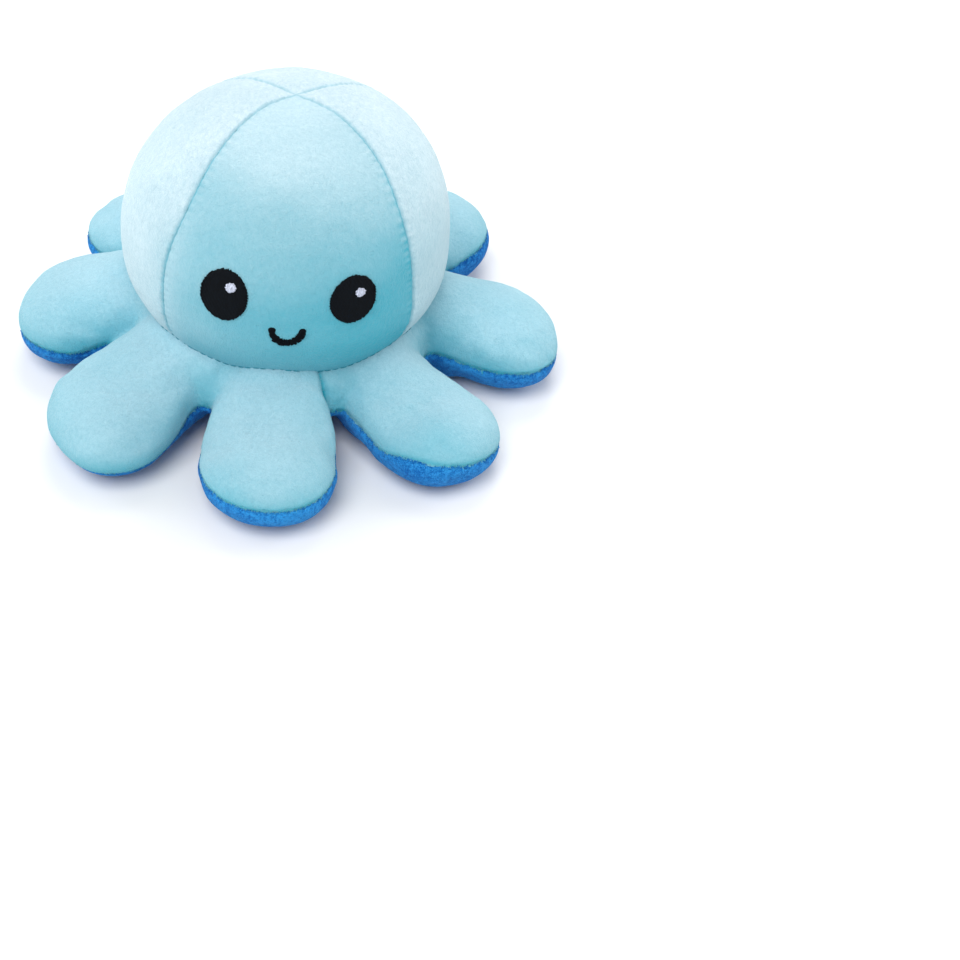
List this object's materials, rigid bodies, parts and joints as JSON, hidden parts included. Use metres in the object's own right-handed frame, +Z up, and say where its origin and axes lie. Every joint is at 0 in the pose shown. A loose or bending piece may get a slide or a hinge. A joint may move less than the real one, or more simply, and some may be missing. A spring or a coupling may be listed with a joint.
{
  "type": "plush octopus",
  "caption": "Stuffed toy octopus with a round gored head, short plump arms and a pocket underneath, made to be turned inside out.",
  "frame": {"origin": "on the floor, under the middle of the head", "axes": "+Z up, -Y the way the face looks, +X to the right of someone who looks at the face"},
  "size_m": [0.2, 0.2, 0.112],
  "materials": {
    "light_plush": "short-pile velour, light blue",
    "dark_plush": "short-pile velour, strong blue",
    "stuffing": "loose white polyester fibre",
    "black_thread": "satin-stitched black thread",
    "white_thread": "satin-stitched white thread"
  },
  "bodies": {
    "body": {"head_front_panel": "light_plush", "head_right_panel": "light_plush", "head_back_panel": "light_plush", "head_left_panel": "light_plush", "pocket_front_panel": "dark_plush", "pocket_right_panel": "dark_plush", "pocket_back_panel": "dark_plush", "pocket_left_panel": "dark_plush", "body_stuffing": "stuffing", "skirt_top_panel": "light_plush", "skirt_under_panel": "dark_plush", "smiling_left_eye": "black_thread", "smiling_right_eye": "black_thread", "smiling_left_glint": "white_thread", "smiling_right_glint": "white_thread", "smiling_mouth": "black_thread", "sulky_left_eye": "black_thread", "sulky_right_eye": "black_thread", "sulky_left_glint": "white_thread", "sulky_right_glint": "white_thread", "sulky_mouth": "black_thread"},
    "arm_front": {"arm_front_top_panel": "light_plush", "arm_front_under_panel": "dark_plush", "arm_front_stuffing": "stuffing"},
    "arm_front_right": {"arm_front_right_top_panel": "light_plush", "arm_front_right_under_panel": "dark_plush", "arm_front_right_stuffing": "stuffing"},
    "arm_right": {"arm_right_top_panel": "light_plush", "arm_right_under_panel": "dark_plush", "arm_right_stuffing": "stuffing"},
    "arm_back_right": {"arm_back_right_top_panel": "light_plush", "arm_back_right_under_panel": "dark_plush", "arm_back_right_stuffing": "stuffing"},
    "arm_back": {"arm_back_top_panel": "light_plush", "arm_back_under_panel": "dark_plush", "arm_back_stuffing": "stuffing"},
    "arm_back_left": {"arm_back_left_top_panel": "light_plush", "arm_back_left_under_panel": "dark_plush", "arm_back_left_stuffing": "stuffing"},
    "arm_left": {"arm_left_top_panel": "light_plush", "arm_left_under_panel": "dark_plush", "arm_left_stuffing": "stuffing"},
    "arm_front_left": {"arm_front_left_top_panel": "light_plush", "arm_front_left_under_panel": "dark_plush", "arm_front_left_stuffing": "stuffing"}
  },
  "joints": [
    {"name": "arm_front_flex", "type": "hinge", "parent": "body", "child": "arm_front", "pos_m": [0, -0.058, 0.0145], "axis": [-1, 0, 0], "range_deg": [-35, 35], "stiffness_Nm_per_rad": 0.06},
    {"name": "arm_front_right_flex", "type": "hinge", "parent": "body", "child": "arm_front_right", "pos_m": [0.04101, -0.04101, 0.0145], "axis": [-0.7071, -0.7071, 0], "range_deg": [-35, 35], "stiffness_Nm_per_rad": 0.06},
    {"name": "arm_right_flex", "type": "hinge", "parent": "body", "child": "arm_right", "pos_m": [0.058, 0, 0.0145], "axis": [0, -1, 0], "range_deg": [-35, 35], "stiffness_Nm_per_rad": 0.06},
    {"name": "arm_back_right_flex", "type": "hinge", "parent": "body", "child": "arm_back_right", "pos_m": [0.04101, 0.04101, 0.0145], "axis": [0.7071, -0.7071, 0], "range_deg": [-35, 35], "stiffness_Nm_per_rad": 0.06},
    {"name": "arm_back_flex", "type": "hinge", "parent": "body", "child": "arm_back", "pos_m": [0, 0.058, 0.0145], "axis": [1, 0, 0], "range_deg": [-35, 35], "stiffness_Nm_per_rad": 0.06},
    {"name": "arm_back_left_flex", "type": "hinge", "parent": "body", "child": "arm_back_left", "pos_m": [-0.04101, 0.04101, 0.0145], "axis": [0.7071, 0.7071, 0], "range_deg": [-35, 35], "stiffness_Nm_per_rad": 0.06},
    {"name": "arm_left_flex", "type": "hinge", "parent": "body", "child": "arm_left", "pos_m": [-0.058, 0, 0.0145], "axis": [0, 1, 0], "range_deg": [-35, 35], "stiffness_Nm_per_rad": 0.06},
    {"name": "arm_front_left_flex", "type": "hinge", "parent": "body", "child": "arm_front_left", "pos_m": [-0.04101, -0.04101, 0.0145], "axis": [-0.7071, 0.7071, 0], "range_deg": [-35, 35], "stiffness_Nm_per_rad": 0.06}
  ]
}
